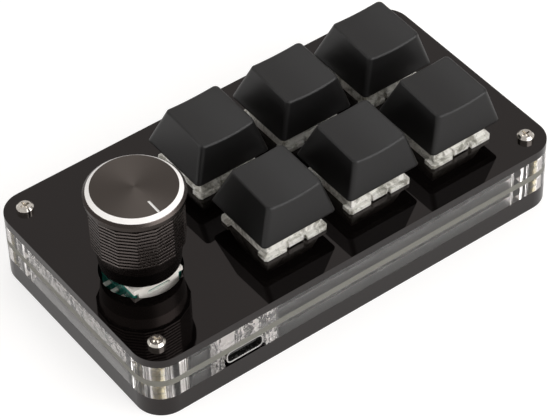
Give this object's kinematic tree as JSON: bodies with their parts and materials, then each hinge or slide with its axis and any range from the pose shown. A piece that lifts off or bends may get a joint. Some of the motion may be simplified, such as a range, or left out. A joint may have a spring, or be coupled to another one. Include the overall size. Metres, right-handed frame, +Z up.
{
  "type": "macro keypad",
  "caption": "Desk keypad with sprung square keys in two rows and one knob that turns and pushes, on a sandwich of black and clear plates round a circuit board.",
  "frame": {"origin": "middle of the underside of the bottom plate", "axes": "+X along the length, from the knob's end to the last column of keys; -Y is the long side that holds the data socket; +Z up, out of the keys"},
  "size_m": [0.1034, 0.0564, 0.0383],
  "materials": {
    "black_acrylic": "polished cut sheet",
    "clear_acrylic": "clear cut sheet, polished faces and laser-cut edges",
    "board": "glass-fibre board with a pale cut edge",
    "steel_screw": "plated steel, cross drive",
    "brass": "turned brass",
    "socket_metal": "plated steel",
    "socket_plastic": "moulded",
    "chip": "moulded",
    "contact_metal": "tinned",
    "encoder_green": "moulded, dark green",
    "encoder_metal": "plated steel, pressed",
    "spring_steel": "sprung steel",
    "core_plastic": "moulded",
    "knob_metal": "black anodised, turned, with a bright cut ring",
    "switch_housing": "milky translucent moulding",
    "stem_plastic": "moulded",
    "keycap_plastic": "black, fine satin"
  },
  "bodies": {
    "case": {"bottom_plate": "black_acrylic", "lower_frame": "clear_acrylic", "circuit_board": "board", "upper_frame": "clear_acrylic", "top_plate": "black_acrylic", "top_screws": "steel_screw", "standoffs": "brass", "bottom_screws": "steel_screw", "socket_shell": "socket_metal", "socket_tongue": "socket_plastic", "controller_chip": "chip", "board_components": "chip", "switch_pins": "contact_metal", "encoder_base": "encoder_green", "encoder_cover": "encoder_metal", "encoder_bushing": "encoder_metal", "encoder_terminals": "contact_metal", "push_dome": "spring_steel", "switch_base_front_left": "switch_housing", "switch_lid_front_left": "switch_housing", "key_spring_front_left": "spring_steel", "switch_base_front_middle": "switch_housing", "switch_lid_front_middle": "switch_housing", "key_spring_front_middle": "spring_steel", "switch_base_front_right": "switch_housing", "switch_lid_front_right": "switch_housing", "key_spring_front_right": "spring_steel", "switch_base_rear_left": "switch_housing", "switch_lid_rear_left": "switch_housing", "key_spring_rear_left": "spring_steel", "switch_base_rear_middle": "switch_housing", "switch_lid_rear_middle": "switch_housing", "key_spring_rear_middle": "spring_steel", "switch_base_rear_right": "switch_housing", "switch_lid_rear_right": "switch_housing", "key_spring_rear_right": "spring_steel"},
    "key_front_left": {"key_stem_front_left": "stem_plastic", "keycap_front_left": "keycap_plastic"},
    "key_front_middle": {"key_stem_front_middle": "stem_plastic", "keycap_front_middle": "keycap_plastic"},
    "key_front_right": {"key_stem_front_right": "stem_plastic", "keycap_front_right": "keycap_plastic"},
    "key_rear_left": {"key_stem_rear_left": "stem_plastic", "keycap_rear_left": "keycap_plastic"},
    "key_rear_middle": {"key_stem_rear_middle": "stem_plastic", "keycap_rear_middle": "keycap_plastic"},
    "key_rear_right": {"key_stem_rear_right": "stem_plastic", "keycap_rear_right": "keycap_plastic"},
    "rotor": {"encoder_rotor": "chip"},
    "knob": {"encoder_shaft": "encoder_metal", "knob_core": "core_plastic", "knob_shell": "knob_metal"}
  },
  "joints": [
    {"name": "key_press_front_left", "type": "slide", "parent": "case", "child": "key_front_left", "axis": [0, 0, -1], "range_m": [0, 0.004], "stiffness_N_per_m": 110, "springref_m": -0.0025, "deforming": ["key_spring_front_left"]},
    {"name": "key_press_front_middle", "type": "slide", "parent": "case", "child": "key_front_middle", "axis": [0, 0, -1], "range_m": [0, 0.004], "stiffness_N_per_m": 110, "springref_m": -0.0025, "deforming": ["key_spring_front_middle"]},
    {"name": "key_press_front_right", "type": "slide", "parent": "case", "child": "key_front_right", "axis": [0, 0, -1], "range_m": [0, 0.004], "stiffness_N_per_m": 110, "springref_m": -0.0025, "deforming": ["key_spring_front_right"]},
    {"name": "key_press_rear_left", "type": "slide", "parent": "case", "child": "key_rear_left", "axis": [0, 0, -1], "range_m": [0, 0.004], "stiffness_N_per_m": 110, "springref_m": -0.0025, "deforming": ["key_spring_rear_left"]},
    {"name": "key_press_rear_middle", "type": "slide", "parent": "case", "child": "key_rear_middle", "axis": [0, 0, -1], "range_m": [0, 0.004], "stiffness_N_per_m": 110, "springref_m": -0.0025, "deforming": ["key_spring_rear_middle"]},
    {"name": "key_press_rear_right", "type": "slide", "parent": "case", "child": "key_rear_right", "axis": [0, 0, -1], "range_m": [0, 0.004], "stiffness_N_per_m": 110, "springref_m": -0.0025, "deforming": ["key_spring_rear_right"]},
    {"name": "knob_turn", "type": "hinge", "parent": "case", "child": "rotor", "pos_m": [-0.0374, -0.0044, 0.0127], "axis": [0, 0, 1], "continuous": true},
    {"name": "knob_press", "type": "slide", "parent": "rotor", "child": "knob", "axis": [0, 0, -1], "range_m": [0, 0.0005], "stiffness_N_per_m": 4000, "springref_m": -0.0003, "deforming": ["push_dome"]}
  ]
}
